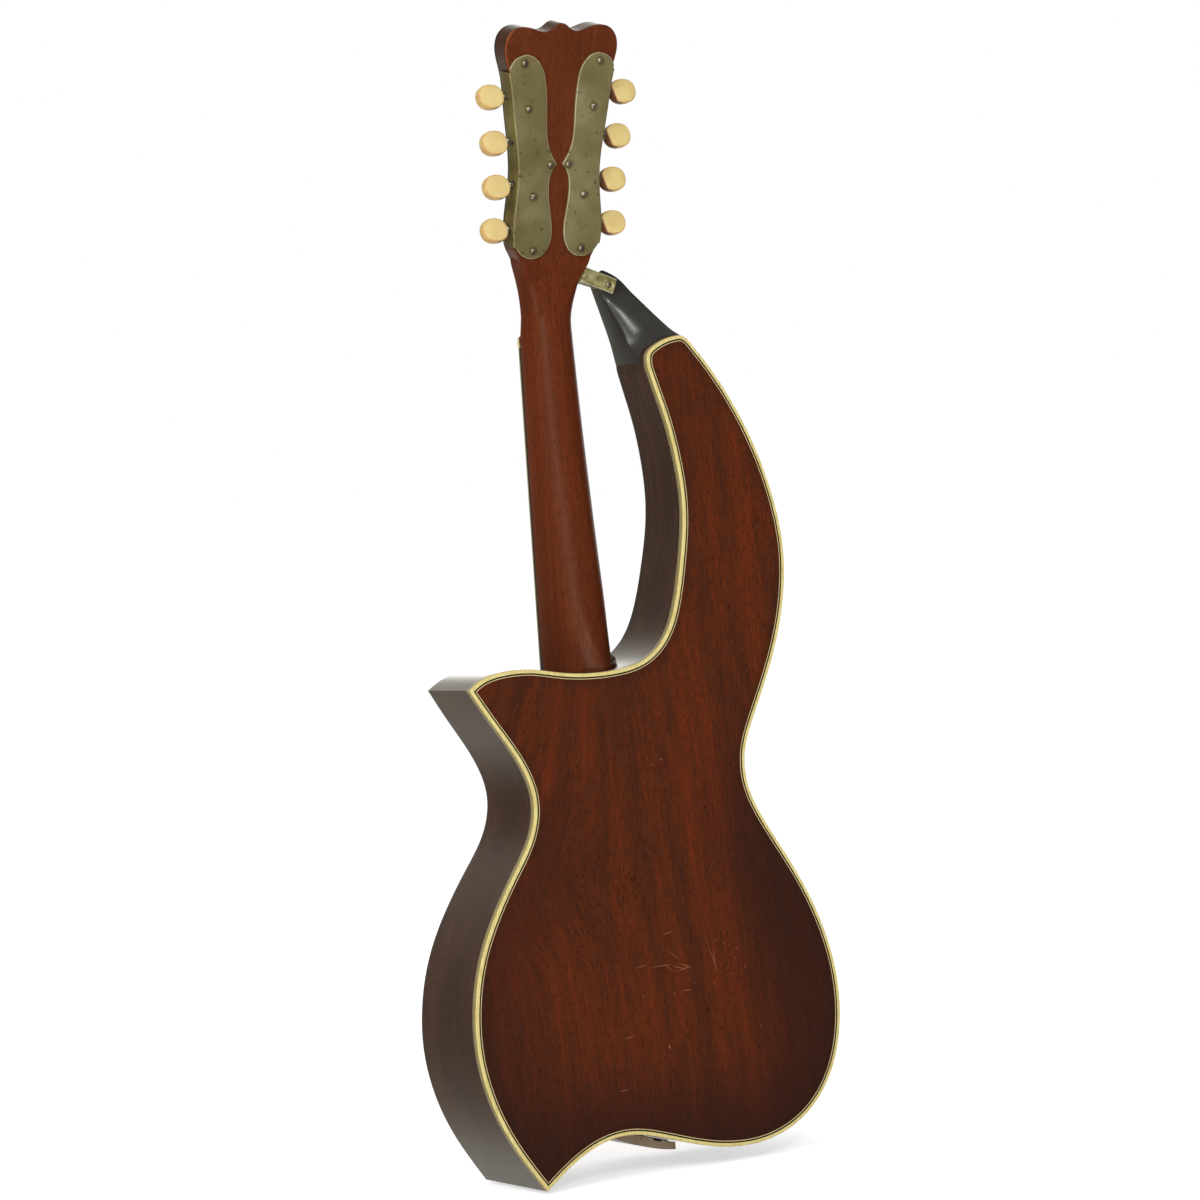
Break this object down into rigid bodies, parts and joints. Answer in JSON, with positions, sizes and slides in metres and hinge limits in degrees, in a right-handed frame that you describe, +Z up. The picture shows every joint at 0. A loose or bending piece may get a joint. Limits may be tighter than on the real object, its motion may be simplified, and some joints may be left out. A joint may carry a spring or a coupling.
{
  "type": "harp mandolin",
  "caption": "Flat-backed harp mandolin with a hollow harp arm strapped to the headstock, worm-gear tuners, paired strings, bridge and covered tailpiece.",
  "frame": {"origin": "on the neck's centre line at the nut, in the plane of the top plate's outer face", "axes": "+Z up the neck towards the headstock, +Y out of the back, +X to the treble side"},
  "size_m": [0.2238, 0.0824, 0.6162],
  "materials": {
    "mahogany_back": "glossy aged varnish",
    "mahogany_neck": "glossy aged varnish",
    "mahogany_sides": "dark stained and varnished",
    "mahogany_block": "bare",
    "spruce_top": "varnished",
    "spruce_brace": "bare",
    "basswood_lining": "bare",
    "black_celluloid": "gloss",
    "ivoroid": "aged gloss",
    "ebonised_wood": "black, glossy",
    "ebony": "oiled",
    "bone": "satin",
    "nickel_silver": "tarnished satin",
    "steel": "satin",
    "brass": "satin",
    "celluloid": "aged gloss"
  },
  "bodies": {
    "instrument": {"top_plate": "spruce_top", "back_plate": "mahogany_back", "top_binding": "black_celluloid", "back_binding": "ivoroid", "rim_harp_arm": "mahogany_sides", "rim_cutaway": "mahogany_sides", "rim_treble": "mahogany_sides", "rim_bass": "mahogany_sides", "top_lining": "basswood_lining", "back_lining": "basswood_lining", "neck_block": "mahogany_block", "tail_block": "mahogany_block", "top_brace_upper": "spruce_brace", "top_brace_lower": "spruce_brace", "back_brace_upper": "spruce_brace", "back_brace_lower": "spruce_brace", "arm_tip": "ebonised_wood", "neck": "mahogany_neck", "headstock_veneer": "ebonised_wood", "fingerboard": "ebony", "nut": "bone", "bridge": "ebony", "tailpiece": "nickel_silver", "neck_bracket": "nickel_silver", "tuner_plate_treble": "nickel_silver", "tuner_plate_bass": "nickel_silver", "string_1": "steel", "string_2": "steel", "string_3": "steel", "string_4": "steel", "string_5": "steel", "string_6": "steel", "string_7": "steel", "string_8": "steel"},
    "tailpiece_lid": {"tailpiece_cover": "nickel_silver"},
    "key_treble_1": {"worm_shaft_treble_1": "steel", "button_treble_1": "celluloid"},
    "key_treble_2": {"worm_shaft_treble_2": "steel", "button_treble_2": "celluloid"},
    "key_treble_3": {"worm_shaft_treble_3": "steel", "button_treble_3": "celluloid"},
    "key_treble_4": {"worm_shaft_treble_4": "steel", "button_treble_4": "celluloid"},
    "key_bass_1": {"worm_shaft_bass_1": "steel", "button_bass_1": "celluloid"},
    "key_bass_2": {"worm_shaft_bass_2": "steel", "button_bass_2": "celluloid"},
    "key_bass_3": {"worm_shaft_bass_3": "steel", "button_bass_3": "celluloid"},
    "key_bass_4": {"worm_shaft_bass_4": "steel", "button_bass_4": "celluloid"},
    "post_treble_1": {"string_post_treble_1": "brass"},
    "post_treble_2": {"string_post_treble_2": "brass"},
    "post_treble_3": {"string_post_treble_3": "brass"},
    "post_treble_4": {"string_post_treble_4": "brass"},
    "post_bass_1": {"string_post_bass_1": "brass"},
    "post_bass_2": {"string_post_bass_2": "brass"},
    "post_bass_3": {"string_post_bass_3": "brass"},
    "post_bass_4": {"string_post_bass_4": "brass"}
  },
  "joints": [
    {"name": "cover_slide", "type": "slide", "parent": "instrument", "child": "tailpiece_lid", "axis": [0, 0, -1], "range_m": [0, 0.014]},
    {"name": "turn_key_treble_1", "type": "hinge", "parent": "instrument", "child": "key_treble_1", "pos_m": [0.0364, 0.01995, 0.06255], "axis": [1, 0, 0], "continuous": true},
    {"name": "turn_key_treble_2", "type": "hinge", "parent": "instrument", "child": "key_treble_2", "pos_m": [0.0358, 0.02552, 0.08569], "axis": [1, 0, 0], "continuous": true},
    {"name": "turn_key_treble_3", "type": "hinge", "parent": "instrument", "child": "key_treble_3", "pos_m": [0.038, 0.0311, 0.10883], "axis": [1, 0, 0], "continuous": true},
    {"name": "turn_key_treble_4", "type": "hinge", "parent": "instrument", "child": "key_treble_4", "pos_m": [0.041, 0.03667, 0.13197], "axis": [1, 0, 0], "continuous": true},
    {"name": "turn_key_bass_1", "type": "hinge", "parent": "instrument", "child": "key_bass_1", "pos_m": [-0.0364, 0.02014, 0.06333], "axis": [1, 0, 0], "continuous": true},
    {"name": "turn_key_bass_2", "type": "hinge", "parent": "instrument", "child": "key_bass_2", "pos_m": [-0.0358, 0.02571, 0.08647], "axis": [1, 0, 0], "continuous": true},
    {"name": "turn_key_bass_3", "type": "hinge", "parent": "instrument", "child": "key_bass_3", "pos_m": [-0.038, 0.03128, 0.10961], "axis": [1, 0, 0], "continuous": true},
    {"name": "turn_key_bass_4", "type": "hinge", "parent": "instrument", "child": "key_bass_4", "pos_m": [-0.041, 0.03686, 0.13275], "axis": [1, 0, 0], "continuous": true},
    {"name": "turn_post_treble_1", "type": "hinge", "parent": "instrument", "child": "post_treble_1", "pos_m": [0.0146, 0.02157, 0.06926], "axis": [0, 0.9722, -0.2341], "continuous": true},
    {"name": "turn_post_treble_2", "type": "hinge", "parent": "instrument", "child": "post_treble_2", "pos_m": [0.0152, 0.02714, 0.0924], "axis": [0, 0.9722, -0.2341], "continuous": true},
    {"name": "turn_post_treble_3", "type": "hinge", "parent": "instrument", "child": "post_treble_3", "pos_m": [0.0166, 0.03271, 0.11554], "axis": [0, 0.9722, -0.2341], "continuous": true},
    {"name": "turn_post_treble_4", "type": "hinge", "parent": "instrument", "child": "post_treble_4", "pos_m": [0.0186, 0.03828, 0.13867], "axis": [0, 0.9722, -0.2341], "continuous": true},
    {"name": "turn_post_bass_1", "type": "hinge", "parent": "instrument", "child": "post_bass_1", "pos_m": [-0.0146, 0.02176, 0.07004], "axis": [0, 0.9722, -0.2341], "continuous": true},
    {"name": "turn_post_bass_2", "type": "hinge", "parent": "instrument", "child": "post_bass_2", "pos_m": [-0.0152, 0.02733, 0.09318], "axis": [0, 0.9722, -0.2341], "continuous": true},
    {"name": "turn_post_bass_3", "type": "hinge", "parent": "instrument", "child": "post_bass_3", "pos_m": [-0.0166, 0.0329, 0.11631], "axis": [0, 0.9722, -0.2341], "continuous": true},
    {"name": "turn_post_bass_4", "type": "hinge", "parent": "instrument", "child": "post_bass_4", "pos_m": [-0.0186, 0.03847, 0.13945], "axis": [0, 0.9722, -0.2341], "continuous": true}
  ],
  "couplings": [
    {"joint": "turn_post_treble_1", "follows": "turn_key_treble_1", "ratio": 0.071429},
    {"joint": "turn_post_treble_2", "follows": "turn_key_treble_2", "ratio": 0.071429},
    {"joint": "turn_post_treble_3", "follows": "turn_key_treble_3", "ratio": 0.071429},
    {"joint": "turn_post_treble_4", "follows": "turn_key_treble_4", "ratio": 0.071429},
    {"joint": "turn_post_bass_1", "follows": "turn_key_bass_1", "ratio": 0.071429},
    {"joint": "turn_post_bass_2", "follows": "turn_key_bass_2", "ratio": 0.071429},
    {"joint": "turn_post_bass_3", "follows": "turn_key_bass_3", "ratio": 0.071429},
    {"joint": "turn_post_bass_4", "follows": "turn_key_bass_4", "ratio": 0.071429}
  ]
}
